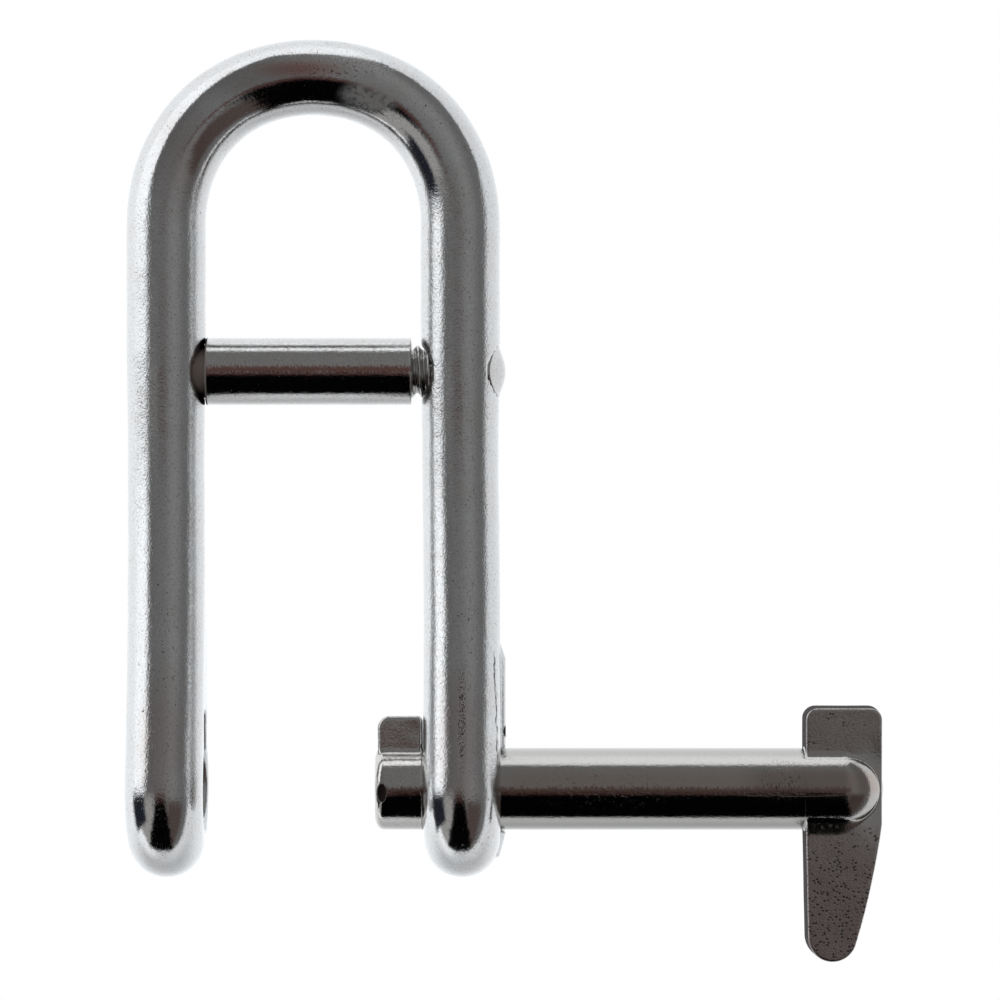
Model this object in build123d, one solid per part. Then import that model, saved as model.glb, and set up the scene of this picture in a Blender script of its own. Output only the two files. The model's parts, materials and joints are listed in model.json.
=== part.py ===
from build123d import *
import os

# Captive-pin key shackle for a halyard, millimetres.
# The origin is where the halyard bears, at the inside of the crown. +Z is up, towards the
# crown. +X runs along the pin axis, from the keyhole eye to the handle. Y is square to the bow.
# Each function below works with heights measured from the pin axis, and export() lifts
# the finished piece into the part's own frame. The pin is drawn fully out (shackle open).

# Bow: a round bar bent to a long D
INSIDE_WIDTH = 16.2
INSIDE_LENGTH = 50.7
ROD_DIAMETER = 6.0
CROWN_GAUGE = 5.75
CROWN_BREADTH = 6.1
NECK_GAUGE = 5.9
NECK_TAPER_TOP = 34.0
NECK_TAPER_BOTTOM = 26.2

# Eyes: rounded discs about the pin axis, one at each foot of the bow, with long flat necks
EYE_RADIUS = 6.7
EYE_NECK_FILLET = 85.0
EYE_EDGE_ROUND = 2.9
RIGHT_EYE_SHIFT = 0.16
EYE_DOME_HEIGHT = 0.1
EYE_DOME_RADIUS = 4.6
PIN_HOLE_DIAMETER = 6.35
KEY_SLOT_WIDTH = 2.9
KEY_SLOT_TOP = 5.75
KEY_SLOT_CORNER = 0.3

# Seat rib on the outside of the right eye, which the lever lies along when it is locked
RIB_FACE_X = 14.53
RIB_WIDTH = 3.4
RIB_TOP = 9.9
RIB_TOE = 11.6
RIB_BOTTOM = -3.3
RIB_HEEL = -5.1
RIB_ROOT_X = 12.0
RIB_EDGE_ROUND = 0.6

# Stop bar: an M4 stud through both legs, peened over, with a loose spacer tube on it
BAR_HEIGHT = 31.5
SPACER_DIAMETER = 5.0
SPACER_BORE = 4.1
SPACER_LEFT_X = -8.07
SPACER_RIGHT_X = 7.44
SPACER_CHAMFER = 0.12
STUD_DIAMETER = 4.0
THREAD_ROOT_DIAMETER = 3.25
THREAD_PITCH = 0.7
THREAD_START_X = 7.78
THREAD_TURNS = 5
THREAD_ROOT_FLAT = 0.09
STUD_LEFT_PROUD = 0.1
STUD_RIGHT_PROUD = 0.43
STUD_RIM_ROUND = 0.3

# Key pin
PIN_DIAMETER = 6.2
PIN_TIP_X = 4.7
PIN_TIP_ROUND = 0.7
TAB_LEFT_X = 4.88
TAB_RIGHT_X = 8.28
TAB_TOP = 5.57
TAB_THICKNESS = 2.6
TAB_LEFT_CORNER = 0.75
TAB_RIGHT_CORNER = 0.55
TAB_EDGE_ROUND = 0.25
GATE_FLAT_DEPTH = 0.24

# Handle: a flat lever cast onto the pin, with the pin's ball nose standing through it
LEVER_INNER_X = 37.0
LEVER_OUTER_X = 42.92
LEVER_TOP = 6.23
LEVER_BOTTOM = -13.02
LEVER_CORNER = 0.95
LEVER_TIP_RADIUS = 1.93
LEVER_TIP_X = 39.1
LEVER_WAIST = (42.16, -6.9)
LEVER_SHOULDER = -2.6
LEVER_THICKNESS = 3.4
LEVER_EDGE_ROUND = 0.15
NOSE_X = 43.04

LEG_X = (INSIDE_WIDTH + ROD_DIAMETER) / 2
CROWN_CENTRE = INSIDE_LENGTH - LEG_X + ROD_DIAMETER / 2
RIGHT_EYE_X = LEG_X + RIGHT_EYE_SHIFT


def along_x(radius, start_x, end_x, height=0.0):
    """A round bar along X between two places."""
    middle = Pos((start_x + end_x) / 2, 0, height)
    return middle * Rot(0, 90, 0) * Cylinder(radius, end_x - start_x)


def crown():
    """The half turn at the top, pressed a little flatter where the bar is bent most."""
    path = Plane.XZ * CenterArc((0, CROWN_CENTRE), LEG_X, 0, 180)
    right_end = Plane((LEG_X, 0, CROWN_CENTRE), x_dir=(1, 0, 0), z_dir=(0, 0, 1))
    top = Plane((0, 0, CROWN_CENTRE + LEG_X), x_dir=(0, 0, 1), z_dir=(-1, 0, 0))
    left_end = Plane((-LEG_X, 0, CROWN_CENTRE), x_dir=(-1, 0, 0), z_dir=(0, 0, -1))
    sections = [
        right_end * Circle(ROD_DIAMETER / 2),
        top * Ellipse(CROWN_GAUGE / 2, CROWN_BREADTH / 2),
        left_end * Circle(ROD_DIAMETER / 2),
    ]
    return sweep(sections, path=path, multisection=True)


def leg(x):
    """The straight of one leg, with the slight taper that polishing leaves above the eye."""
    straight_length = CROWN_CENTRE - NECK_TAPER_TOP
    taper_length = NECK_TAPER_TOP - NECK_TAPER_BOTTOM
    straight = Pos(x, 0, NECK_TAPER_TOP + straight_length / 2) * Cylinder(ROD_DIAMETER / 2, straight_length)
    taper = Pos(x, 0, NECK_TAPER_BOTTOM + taper_length / 2) * Cone(
        NECK_GAUGE / 2, ROD_DIAMETER / 2, taper_length
    )
    return straight + taper


def eye_blank(x):
    """The eye and its neck: a side outline with a fully rounded edge all the way round."""
    neck = Pos(0, NECK_TAPER_BOTTOM / 2) * Rectangle(NECK_GAUGE, NECK_TAPER_BOTTOM)
    outline = Circle(EYE_RADIUS) + neck
    join_height = (EYE_RADIUS**2 - (NECK_GAUGE / 2) ** 2) ** 0.5
    joins = [v for v in outline.vertices() if abs(v.Y - join_height) < 0.1]
    outline = fillet(joins, EYE_NECK_FILLET)
    blank = extrude(outline, NECK_GAUGE / 2, both=True)
    sides = blank.faces().sort_by(Axis.Z)
    edges = [e for e in sides[0].edges() + sides[-1].edges() if e.center().Y < NECK_TAPER_BOTTOM - 0.01]
    blank = fillet(edges, EYE_EDGE_ROUND)
    upright = Plane((x, 0, 0), x_dir=(0, 1, 0), z_dir=(1, 0, 0))
    return upright * blank


def eye_dome(face_x, outward):
    """The slight swell of an eye's face around its hole."""
    ball_radius = (EYE_DOME_RADIUS**2 + EYE_DOME_HEIGHT**2) / (2 * EYE_DOME_HEIGHT)
    ball = Pos(face_x + outward * (EYE_DOME_HEIGHT - ball_radius), 0, 0) * Sphere(ball_radius)
    root_x = face_x - outward * 0.5
    tip_x = face_x + outward * 0.5
    return ball & along_x(EYE_DOME_RADIUS, min(root_x, tip_x), max(root_x, tip_x))


def seat_rib():
    """The narrow flat that stands off the right eye, ramped at both ends."""
    outline = Polyline(
        (RIB_ROOT_X, RIB_TOE),
        (LEG_X + NECK_GAUGE / 2 - 0.05, RIB_TOE),
        (RIB_FACE_X, RIB_TOP),
        (RIB_FACE_X, RIB_BOTTOM),
        (RIB_FACE_X - 0.5, RIB_HEEL),
        (RIB_ROOT_X, RIB_HEEL),
        close=True,
    )
    rib = extrude(Plane.XZ * make_face(outline), RIB_WIDTH / 2, both=True)
    long_edges = [e for e in rib.edges() if abs(e.center().X - RIB_FACE_X) < 0.01 and abs(e.center().Y) > 1]
    return fillet(long_edges, RIB_EDGE_ROUND)


def bow():
    """The one-piece bow with both eyes, the keyhole on the left and the seat rib on the right."""
    body = crown() + leg(-LEG_X) + leg(LEG_X)
    body += eye_blank(-LEG_X) + eye_blank(RIGHT_EYE_X)
    body += eye_dome(-LEG_X - NECK_GAUGE / 2, -1)
    body += eye_dome(-LEG_X + NECK_GAUGE / 2, 1)
    body += seat_rib()
    outside = RIB_FACE_X + 1
    body -= along_x(PIN_HOLE_DIAMETER / 2, -outside, outside)
    slot = Pos(-LEG_X, 0, KEY_SLOT_TOP / 2) * Box(ROD_DIAMETER * 1.5, KEY_SLOT_WIDTH, KEY_SLOT_TOP)
    body -= fillet(slot.edges().filter_by(Axis.X).group_by(Axis.Z)[-1], KEY_SLOT_CORNER)
    body -= along_x(STUD_DIAMETER / 2, -outside, outside, BAR_HEIGHT)
    return body


def spacer():
    """The loose tube that rides on the stud between the legs."""
    tube = along_x(SPACER_DIAMETER / 2, SPACER_LEFT_X, SPACER_RIGHT_X, BAR_HEIGHT)
    tube = chamfer(tube.edges().filter_by(GeomType.CIRCLE), SPACER_CHAMFER)
    return tube - along_x(SPACER_BORE / 2, SPACER_LEFT_X - 1, SPACER_RIGHT_X + 1, BAR_HEIGHT)


def stud():
    """The stud, threaded at its right end, ground to the leg at its left and peened proud
    at its right."""
    reach = LEG_X + ROD_DIAMETER
    tall = STUD_DIAMETER * 2
    limit = Pos(-LEG_X, 0, BAR_HEIGHT) * Cylinder(ROD_DIAMETER / 2 + STUD_LEFT_PROUD, tall)
    limit += Pos(0, 0, BAR_HEIGHT) * Box(2 * LEG_X, tall, tall)
    limit += Pos(LEG_X, 0, BAR_HEIGHT) * Cylinder(ROD_DIAMETER / 2 + STUD_RIGHT_PROUD, tall)
    body = along_x(STUD_DIAMETER / 2, -reach, reach, BAR_HEIGHT) & limit
    rim = body.edges().sort_by(Axis.X)[-1]
    body = fillet(rim, STUD_RIM_ROUND)
    crest = STUD_DIAMETER / 2
    root = THREAD_ROOT_DIAMETER / 2
    for turn in range(THREAD_TURNS):
        left = THREAD_START_X + turn * THREAD_PITCH
        right = left + THREAD_PITCH - THREAD_ROOT_FLAT
        middle = (left + right) / 2
        groove = Polyline(
            (left, crest + 0.1),
            (left, crest),
            (middle - THREAD_ROOT_FLAT / 2, root),
            (middle + THREAD_ROOT_FLAT / 2, root),
            (right, crest),
            (right, crest + 0.1),
            close=True,
        )
        ring = revolve(Plane.XZ * make_face(groove), Axis.X)
        body -= Pos(0, 0, BAR_HEIGHT) * ring
    return body


def pin_shank():
    """The round of the pin, from its key to its handle."""
    return along_x(PIN_DIAMETER / 2, TAB_RIGHT_X, LEVER_INNER_X)


def key_tip():
    """The end of the pin, with the key that only passes the keyhole when it points up."""
    end = along_x(PIN_DIAMETER / 2, PIN_TIP_X, TAB_RIGHT_X)
    end = fillet(end.edges().sort_by(Axis.X)[0], PIN_TIP_ROUND)
    width = TAB_RIGHT_X - TAB_LEFT_X
    tab = Pos((TAB_LEFT_X + TAB_RIGHT_X) / 2, 0, TAB_TOP / 2) * Box(width, TAB_THICKNESS, TAB_TOP)
    uprights = tab.edges().filter_by(Axis.Y).group_by(Axis.Z)[-1].sort_by(Axis.X)
    tab = fillet(uprights[0], TAB_LEFT_CORNER)
    uprights = tab.edges().filter_by(Axis.Y).group_by(Axis.Z)[-1].sort_by(Axis.X)
    tab = fillet(uprights[-1], TAB_RIGHT_CORNER)
    rims = [e for e in tab.edges() if abs(abs(e.center().Y) - TAB_THICKNESS / 2) < 0.01 and e.center().Z > 0.1]
    tab = fillet(rims, TAB_EDGE_ROUND)
    tip = end + tab
    gate_normal = Vector(-0.72, -0.69, 0)
    corner = Vector(PIN_TIP_X + PIN_TIP_ROUND, -PIN_DIAMETER / 2 + PIN_TIP_ROUND, 0)
    cut_plane = Plane(corner + gate_normal * (PIN_TIP_ROUND - GATE_FLAT_DEPTH), z_dir=gate_normal)
    return tip - cut_plane * Pos(0, 0, 1) * Box(3, 3, 2)


def handle():
    """The lever: short above the pin, long and tapering below it, with the pin's nose."""
    tip_height = LEVER_BOTTOM + LEVER_TIP_RADIUS
    tip_right = (LEVER_TIP_X + LEVER_TIP_RADIUS * 0.98, tip_height - LEVER_TIP_RADIUS * 0.2)
    tip_low = (LEVER_TIP_X, LEVER_BOTTOM)
    tip_left_x = LEVER_TIP_X - LEVER_TIP_RADIUS
    inner_foot = (LEVER_INNER_X, LEVER_SHOULDER)
    sides = [
        Line((LEVER_INNER_X, LEVER_TOP - LEVER_CORNER), inner_foot),
        Line(inner_foot, (tip_left_x, tip_height)),
        ThreePointArc((tip_left_x, tip_height), tip_low, tip_right),
        ThreePointArc(tip_right, LEVER_WAIST, (LEVER_OUTER_X, LEVER_SHOULDER)),
        Line((LEVER_OUTER_X, LEVER_SHOULDER), (LEVER_OUTER_X, LEVER_TOP - LEVER_CORNER)),
        CenterArc((LEVER_OUTER_X - LEVER_CORNER, LEVER_TOP - LEVER_CORNER), LEVER_CORNER, 0, 90),
        Line((LEVER_OUTER_X - LEVER_CORNER, LEVER_TOP), (LEVER_INNER_X + LEVER_CORNER, LEVER_TOP)),
        CenterArc((LEVER_INNER_X + LEVER_CORNER, LEVER_TOP - LEVER_CORNER), LEVER_CORNER, 90, 90),
    ]
    face = make_face(Curve() + sides)
    blade = extrude(Plane.XZ * face, LEVER_THICKNESS / 2, both=True)
    rims = [e for e in blade.edges() if abs(abs(e.center().Y) - LEVER_THICKNESS / 2) < 0.01]
    blade = fillet(rims, LEVER_EDGE_ROUND)
    radius = PIN_DIAMETER / 2
    nose = along_x(radius, LEVER_INNER_X, NOSE_X - radius) + Pos(NOSE_X - radius, 0, 0) * Sphere(radius)
    nose &= along_x(radius * 2, LEVER_INNER_X, NOSE_X + 1)
    return blade + nose


def export(shape, name):
    """Lift a piece from pin-axis heights into the part's frame and write it."""
    export_step(Pos(0, 0, -INSIDE_LENGTH) * shape, "parts/" + name + ".step")


os.makedirs("parts", exist_ok=True)
export(bow(), "bow_body")
export(spacer(), "stop_bar_spacer")
export(stud(), "stop_bar_stud")
export(pin_shank(), "key_pin_shank")
export(key_tip(), "key_pin_tip")
export(handle(), "key_pin_handle")
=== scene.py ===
"""Looks for a captive-pin key shackle, shown open: every piece is rebuilt as a fine mesh
from a distance function or a turned profile, and given a worn stainless steel finish.
Shapes are worked out in millimetres, with heights measured from the pin axis."""

import json
import math

import bpy
import numpy as np
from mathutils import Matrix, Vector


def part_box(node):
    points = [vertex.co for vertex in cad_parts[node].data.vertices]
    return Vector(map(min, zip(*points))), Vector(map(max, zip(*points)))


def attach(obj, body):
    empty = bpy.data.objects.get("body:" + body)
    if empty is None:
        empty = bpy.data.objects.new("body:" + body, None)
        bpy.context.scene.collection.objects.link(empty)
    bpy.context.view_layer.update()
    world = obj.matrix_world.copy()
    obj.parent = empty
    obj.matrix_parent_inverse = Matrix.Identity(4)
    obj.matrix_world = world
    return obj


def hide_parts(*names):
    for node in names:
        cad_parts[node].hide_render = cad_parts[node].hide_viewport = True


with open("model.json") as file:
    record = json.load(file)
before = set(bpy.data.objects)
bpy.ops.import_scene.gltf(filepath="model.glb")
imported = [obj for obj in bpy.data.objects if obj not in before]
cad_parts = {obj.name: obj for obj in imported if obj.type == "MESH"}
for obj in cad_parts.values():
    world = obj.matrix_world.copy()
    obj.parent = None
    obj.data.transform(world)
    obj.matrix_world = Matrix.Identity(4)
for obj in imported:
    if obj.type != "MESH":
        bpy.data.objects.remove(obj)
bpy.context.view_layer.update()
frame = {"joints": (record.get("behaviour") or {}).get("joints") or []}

MM = 0.001
SEED = 7


# ---------------------------------------------------------------- sizes from the frame

def box_mm(node):
    """A CAD node's corners in millimetres, with heights from the pin axis."""
    low, high = (np.array(corner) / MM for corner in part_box(node))
    return low - PIN_AXIS, high - PIN_AXIS


JOINTS = {joint["name"]: joint for joint in frame["joints"]}
PIN_AXIS = np.array(JOINTS["lever_turn"]["pos_m"]) / MM
BAR_AXIS = np.array(JOINTS["spacer_turn"]["pos_m"]) / MM - PIN_AXIS
BOW_LOW, BOW_HIGH = box_mm("bow_body")
SHANK_LOW, SHANK_HIGH = box_mm("key_pin_shank")
TIP_LOW, TIP_HIGH = box_mm("key_pin_tip")
HANDLE_LOW, HANDLE_HIGH = box_mm("key_pin_handle")
SPACER_LOW, SPACER_HIGH = box_mm("stop_bar_spacer")
STUD_LOW, STUD_HIGH = box_mm("stop_bar_stud")

ROD_RADIUS = 3.0
LEG_X = 11.1
CROWN_RADIUS = LEG_X
CROWN_BAR = 5.75
CROWN_CENTRE = BOW_HIGH[2] - CROWN_RADIUS - CROWN_BAR / 2
CROWN_THINNING = 0.125
CROWN_SPREAD = 0.05
CROWN_SQUARENESS = 0.018
NECK_RADIUS = 2.9
NECK_TAPER = (26.1, 33.0)

EYE_RADIUS = -BOW_LOW[2]
EYE_NECK_FILLET = 85.0
LEFT_EYE_SHIFT = 0.06
RIGHT_EYE_SHIFT = 0.14
SHIFT_SPAN = (11.0, 28.0)
EYE_DOME_HEIGHT = 0.04
EYE_DOME_RADIUS = 4.6
EYE_FACE_WIDTH = 0.02
HOLE_RADIUS = 3.175
HOLE_EDGE_ROUND = 0.3
SLOT_HALF_WIDTH = 1.45
SLOT_TOP = 5.75
SLOT_CORNER = 0.3

RIB_FACE_X = BOW_HIGH[0]
RIB_HALF_WIDTH = 1.35
RIB_FLARE = 0.045
RIB_TOP, RIB_TOE = 9.9, 11.6
RIB_BOTTOM, RIB_HEEL = -3.3, -5.1
RIB_TOE_SUNK = 0.05
RIB_HEEL_RUN = 0.5
RIB_EDGE_ROUND = 0.6
RIB_CREASE = 0.03
DARK_LINE_X = 14.02  # where the dark line beside the rib crosses the pin's height
DARK_LINE_LEAN = 0.036
STAKE_HEIGHTS = (4.4, -4.75)
STAKE_Y = -RIB_HALF_WIDTH * 0.5
STAKE_RADIUS = 0.55
STAKE_DEPTH = 0.16
STAKE_EDGE_ROUND = 0.03
BOW_RIPPLES = ((5.0, 0.006), (1.6, 0.0015))  # wavelength and height of each

SPACER_BORE = 2.05
SPACER_CHAMFER = 0.12
SPACER_END_STEP = 0.02
SPACER_SWELL = 0.05
STUD_RADIUS = 2.0
STUD_GAP = 0.02
STUD_HOLE_ROUND = 0.05
STUD_LEFT_COVER = 0.4
STUD_LEFT_GAP = 0.02
STUD_RIGHT_PROUD = 0.43
STUD_RIM_SUNK = 0.06
STUD_END_ROUND = 0.06
THREAD_PITCH = 0.7
THREAD_DEPTH = 0.375
THREAD_GROOVE = 0.42  # half of a groove's width, in turns
THREAD_SPAN = (6.4, 10.0)
THREAD_RUNOUT = 1
THREAD_SLOPE = 0.85  # keeps the distance from growing too fast on the thread's flanks

PIN_RADIUS = 3.1
SHANK_END_BAND = 0.004  # a narrow ring of faces that keeps the end's edge sharp
TIP_ROUND = 0.7
TIP_RIPPLE = (1.8, 0.004)  # wavelength and height
TAB_HALF_THICKNESS = 1.3
TAB_SETBACK = 0.18
TAB_CORNER = 0.95
TAB_EDGE_ROUND = 0.3
TAB_FILLET = 0.3
GATE_SPOT = (5.24, -3.06, -0.12)
GATE_NORMAL = (-0.386, -0.922, 0.0)
GATE_RADIUS = 0.68
GATE_DEPTH = 0.17
GATE_STRETCH = 1.8
GATE_EDGE_ROUND = 0.04

LEVER_CORNER = 0.95
LEVER_TIP_RADIUS = 1.93
LEVER_TIP_X = 39.1
LEVER_TIP_END = 348.5  # degrees, where the tip's arc meets the outer edge
LEVER_TIP_LEAVES = (0.98, -0.2)  # the same place, in radii
LEVER_OUTER_X = 42.92
LEVER_WAIST = (42.16, -6.9)
LEVER_SHOULDER = -2.6
LEVER_HALF_THICKNESS = 1.7
LEVER_EDGE_ROUND = 0.13
LEVER_DRAFT = 0.05
LEVER_THINNING = 0.2  # beside the nose, at the outer edge
LEVER_RIPPLE = (3.0, 0.003)  # wavelength and height
NOSE_FILLET = 0.3
NOSE_UNDER_FILLET = 0.72
NOSE_END_FILLET = 0.08
HANDLE_STUB = 0.3
STUB_TAPER = 0.03

CAMERA_X = 14.1
CAMERA_Y = -364
CAMERA_HEIGHT = 21.8
CAMERA_LENS = 173.6
CAMERA_SENSOR = 36
FLOOR_RADIUS_M = 0.25
FLOOR_DROP_M = 2.4
FLOOR_SIDES = 64


# ---------------------------------------------------------------- distance functions

def union_round(a, b, radius):
    """Joins two solids with a concave fillet."""
    reach = np.hypot(np.maximum(radius - a, 0), np.maximum(radius - b, 0))
    return np.maximum(radius, np.minimum(a, b)) - reach


def common_round(a, b, radius):
    """What two solids share, with its edge rounded."""
    reach = np.hypot(np.maximum(radius + a, 0), np.maximum(radius + b, 0))
    return np.minimum(-radius, np.maximum(a, b)) + reach


def cut_round(a, b, radius):
    """The first solid less the second, with the cut's edge rounded."""
    return common_round(a, -b, radius)


def corner_distance(u, v):
    """Distance to a right-angled corner from the distances to its two sides."""
    return np.minimum(np.maximum(u, v), 0) + np.hypot(np.maximum(u, 0), np.maximum(v, 0))


def rounded_slab(outline, across, half_thickness, radius):
    """A flat outline made solid, with rounded edges. outline is the flat distance."""
    u = outline + radius
    v = np.abs(across) - (half_thickness - radius)
    return corner_distance(u, v) - radius


def rounded_box(x, y, half_x, half_y, radius):
    """A flat rectangle with rounded corners."""
    u = np.abs(x) - (half_x - radius)
    v = np.abs(y) - (half_y - radius)
    return corner_distance(u, v) - radius


def polygon(x, y, corners):
    """Distance to a closed polygon, negative inside."""
    nearest = np.full(x.shape, np.inf)
    inside = np.zeros(x.shape, bool)
    for (ax, ay), (bx, by) in zip(corners, corners[1:] + corners[:1]):
        ex, ey = bx - ax, by - ay
        along = np.clip(((x - ax) * ex + (y - ay) * ey) / (ex * ex + ey * ey), 0, 1)
        nearest = np.minimum(nearest, (x - ax - ex * along) ** 2 + (y - ay - ey * along) ** 2)
        crosses = (ay > y) != (by > y)
        if ey:
            inside ^= crosses & (x < ax + ex * (y - ay) / ey)
    return np.where(inside, -1, 1) * np.sqrt(nearest)


def arc(centre, radius, start, end, steps):
    """Points along an arc, angles in degrees."""
    angles = np.radians(np.linspace(start, end, steps))
    return [(centre[0] + radius * math.cos(t), centre[1] + radius * math.sin(t)) for t in angles]


def arc_through(a, b, c, steps):
    """Points along the circle through three points, from the first to the last."""
    (ax, ay), (bx, by), (cx, cy) = a, b, c
    d = 2 * (ax * (by - cy) + bx * (cy - ay) + cx * (ay - by))
    sa, sb, sc = ax**2 + ay**2, bx**2 + by**2, cx**2 + cy**2
    ux = (sa * (by - cy) + sb * (cy - ay) + sc * (ay - by)) / d
    uy = (sa * (cx - bx) + sb * (ax - cx) + sc * (bx - ax)) / d
    first = math.degrees(math.atan2(ay - uy, ax - ux))
    last = math.degrees(math.atan2(cy - uy, cx - ux))
    turn = (last - first + 180) % 360 - 180
    return arc((ux, uy), math.hypot(ax - ux, ay - uy), first, first + turn, steps)


def ripple(points, wavelength, amplitude, seed, waves=14):
    """Gentle unevenness: a seeded sum of sine waves in random directions."""
    rng = np.random.default_rng(seed)
    total = np.zeros(len(points))
    for _ in range(waves):
        direction = rng.normal(size=3)
        length = wavelength * rng.uniform(0.7, 1.4)
        direction *= 2 * math.pi / (length * np.linalg.norm(direction))
        total += np.sin(points @ direction + rng.uniform(0, 2 * math.pi))
    return total * amplitude / math.sqrt(waves / 2)


# ---------------------------------------------------------------- meshes

def slope(solid, points, reach=0.004):
    """The direction in which a distance function grows."""
    grades = []
    for axis in np.eye(3) * reach:
        grades.append((solid(points + axis) - solid(points - axis)) / (2 * reach))
    return np.stack(grades, 1)


def settle(solid, points, rounds=3):
    """Moves points onto the surface of a solid."""
    for _ in range(rounds):
        grade = slope(solid, points)
        size = np.maximum((grade**2).sum(1), 0.05)
        points = points - grade * (solid(points) / size)[:, None]
    return points


def skin(solid, low, high, step, relax=3):
    """A quad mesh on the surface of a distance function: one point in each cell of a grid
    that the surface crosses, evened out and settled onto the surface."""
    axes = [np.arange(a - 2 * step, b + 3 * step, step) for a, b in zip(low, high)]
    shape = tuple(len(axis) for axis in axes)
    values = np.empty(shape, np.float32)
    for i, x in enumerate(axes[0]):
        ys, zs = np.meshgrid(axes[1], axes[2], indexing="ij")
        sheet = np.stack([np.full(ys.size, x), ys.ravel(), zs.ravel()], 1)
        values[i] = solid(sheet).reshape(ys.shape)
    inside = values < 0
    cells = [slice(0, -1), slice(1, None)]
    count = sum(inside[i, j, k].astype(np.int8) for i in cells for j in cells for k in cells)
    active = (count > 0) & (count < 8)
    number = np.full(active.shape, -1)
    number[active] = np.arange(active.sum())
    where = np.stack(np.nonzero(active), 1)
    points = np.array([axis[0] for axis in axes]) + (where + 0.5) * step
    quads = []
    for axis in range(3):
        ahead = [slice(None)] * 3
        behind = [slice(None)] * 3
        ahead[axis], behind[axis] = slice(1, None), slice(0, -1)
        start = inside[tuple(behind)]
        crossing = start != inside[tuple(ahead)]
        spot = np.stack(np.nonzero(crossing), 1)
        leaving = start[crossing]
        u, v = np.eye(3, dtype=int)[[(axis + 1) % 3, (axis + 2) % 3]]
        ring = np.stack([number[tuple((spot - off).T)] for off in (0 * u, u, u + v, v)], 1)
        ring[~leaving] = ring[~leaving][:, ::-1]
        quads.append(ring)
    quads = np.concatenate(quads)
    points = settle(solid, points)
    for _ in range(relax):
        total = np.zeros_like(points)
        links = np.zeros(len(points))
        for side in range(4):
            a, b = quads[:, side], quads[:, (side + 1) % 4]
            for p, q in ((a, b), (b, a)):
                np.add.at(total, p, points[q])
                np.add.at(links, p, 1)
        points = settle(solid, points * 0.4 + 0.6 * total / links[:, None], 1)
    return settle(solid, points), quads


def turned(stations, start_x, axis_height, around):
    """A bar turned about the X direction. stations are (place along X, radius)."""
    angles = np.linspace(0, 2 * math.pi, around, endpoint=False)
    rows = []
    for x, radius in stations:
        ring = [np.full(around, x), radius * np.cos(angles), radius * np.sin(angles)]
        rows.append(np.stack(ring, 1))
    points = np.concatenate(rows) + (start_x, 0, axis_height)
    quads = []
    for row in range(len(stations) - 1):
        a = row * around + np.arange(around)
        b = row * around + (np.arange(around) + 1) % around
        quads.append(np.stack([a, b, b + around, a + around], 1))
    return points, np.concatenate(quads)


def piece(name, points, quads, body, slot, material, node):
    """Puts a mesh into the scene in place of its CAD node."""
    mesh = bpy.data.meshes.new(name)
    metres = (points + PIN_AXIS) * MM
    mesh.from_pydata(metres.tolist(), [], quads.tolist())
    mesh.validate()
    mesh.polygons.foreach_set("use_smooth", [True] * len(mesh.polygons))
    mesh.materials.append(material)
    thing = bpy.data.objects.new(name, mesh)
    bpy.context.scene.collection.objects.link(thing)
    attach(thing, body)
    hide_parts(node)


# ---------------------------------------------------------------- the bow

def smooth(value, low, high):
    """Runs from 0 at low to 1 at high."""
    share = np.clip((value - low) / (high - low), 0, 1)
    return share * share * (3 - 2 * share)


def leg_centre(x, z):
    """How far out the middle of the nearer leg is. Both eyes stand a little to the right."""
    shift = np.where(x > 0, RIGHT_EYE_SHIFT, -LEFT_EYE_SHIFT)
    return LEG_X + shift * (1 - smooth(z, *SHIFT_SPAN))


def rod(points):
    """The bent bar: two legs and the crown, thinner where it is bent and towards the eyes."""
    x, y, z = points.T
    over = np.maximum(z - CROWN_CENTRE, 0)
    across = np.abs(x) - (leg_centre(x, z) - LEG_X)
    sweep = np.where(over > 0, np.hypot(across, over), across)
    bend = np.sin(np.arctan2(over, np.maximum(across, 0.01)))
    centre = CROWN_RADIUS * (1 + CROWN_SQUARENESS * 4 * bend**2 * (1 - bend**2))
    radial = (sweep - centre) / (1 - CROWN_THINNING / ROD_RADIUS * bend**2)
    sideways = y / (1 + CROWN_SPREAD / ROD_RADIUS * bend**2)
    radius = NECK_RADIUS + (ROD_RADIUS - NECK_RADIUS) * smooth(z, *NECK_TAPER)
    return np.maximum(np.hypot(radial, sideways) - radius, -z)


def eye_outline(y, z):
    """The eye and neck seen from the side: a disc that flows into the leg."""
    side = np.abs(y)
    centre_y = NECK_RADIUS + EYE_NECK_FILLET
    centre_z = math.sqrt((EYE_RADIUS + EYE_NECK_FILLET) ** 2 - centre_y**2)
    disc = np.hypot(side, z) - EYE_RADIUS
    neck = EYE_NECK_FILLET - np.hypot(side - centre_y, z - centre_z)
    flows = (z * centre_y - side * centre_z > 0) & (side < centre_y)
    shape = np.where(flows, neck, disc)
    return np.where(z > centre_z, side - NECK_RADIUS, shape)


def eyes(points):
    """Both eyes with their swelling faces, and the necks up to where the rod's taper starts."""
    x, y, z = points.T
    swell = EYE_DOME_HEIGHT * np.clip(1 - (y * y + z * z) / EYE_DOME_RADIUS**2, 0, 1)
    across = np.abs(np.abs(x) - leg_centre(x, z)) - swell
    edge_round = NECK_RADIUS - EYE_FACE_WIDTH
    solid = rounded_slab(eye_outline(y, z), across, NECK_RADIUS, edge_round)
    return np.maximum(solid, z - NECK_TAPER[0])


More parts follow.
